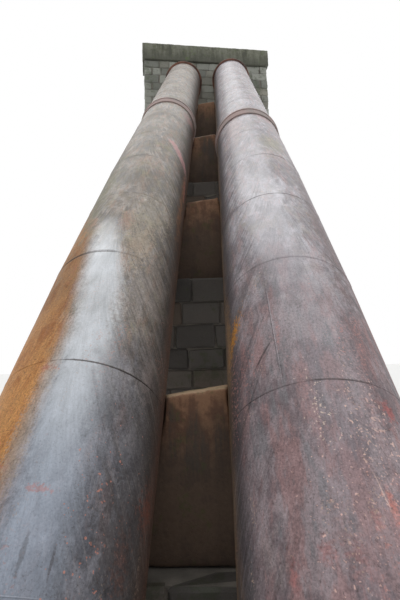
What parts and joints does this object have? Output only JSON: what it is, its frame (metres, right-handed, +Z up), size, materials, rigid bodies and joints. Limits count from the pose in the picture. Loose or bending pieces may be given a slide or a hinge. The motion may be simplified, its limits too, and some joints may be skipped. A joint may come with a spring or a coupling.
{
  "type": "twin penstock pipes on piers with a head wall",
  "caption": "Rusty steel water pipes running side by side up a steep slope, in concrete saddles on stone piers, through a stone head wall with a concrete coping beam.",
  "frame": {"origin": "on the ground at the middle of the lowest pier's foot", "axes": "+X across to the right looking uphill, +Y horizontally uphill, +Z up"},
  "size_m": [6.269, 18.702, 19.3458],
  "materials": {
    "left_pipe_steel": "worn paint and rust, wet sheen on the crown, ochre rust on the outer flank",
    "right_pipe_steel": "worn maroon-grey paint with pink primer patches and rust",
    "joint_iron": "dark red-brown rust",
    "saddle_concrete": "rough, rust-stained concrete",
    "pier_stone": "rough, dark wet squared stone with pale joints",
    "wall_stone": "rough, dark grey squared stone with pale joints",
    "coping_concrete": "weathered, greenish-brown concrete"
  },
  "bodies": {
    "root": {"left_outlet_flange": "joint_iron", "left_lower_run": "left_pipe_steel", "left_middle_run": "left_pipe_steel", "left_upper_run": "left_pipe_steel", "left_slip_sleeve": "joint_iron", "left_top_run_1": "left_pipe_steel", "left_top_run_2": "left_pipe_steel", "left_top_run_3": "left_pipe_steel", "left_wall_collar": "joint_iron", "left_bend_piece": "left_pipe_steel", "left_inlet_pipe": "left_pipe_steel", "left_inlet_flange": "joint_iron", "right_outlet_flange": "joint_iron", "right_lower_run": "right_pipe_steel", "right_middle_run": "right_pipe_steel", "right_upper_run": "right_pipe_steel", "right_slip_sleeve": "joint_iron", "right_top_run_1": "right_pipe_steel", "right_top_run_2": "right_pipe_steel", "right_top_run_3": "right_pipe_steel", "right_wall_collar": "joint_iron", "right_bend_piece": "right_pipe_steel", "right_inlet_pipe": "right_pipe_steel", "right_inlet_flange": "joint_iron", "saddle_1": "saddle_concrete", "saddle_2": "saddle_concrete", "saddle_3": "saddle_concrete", "saddle_4": "saddle_concrete", "saddle_5": "saddle_concrete", "pier_1": "pier_stone", "pier_2": "pier_stone", "pier_3": "pier_stone", "pier_4": "pier_stone", "pier_5": "pier_stone", "head_wall_foot": "wall_stone", "head_wall_lower": "wall_stone", "head_wall_middle": "wall_stone", "head_wall_top": "wall_stone", "coping_beam": "coping_concrete"}
  },
  "joints": []
}
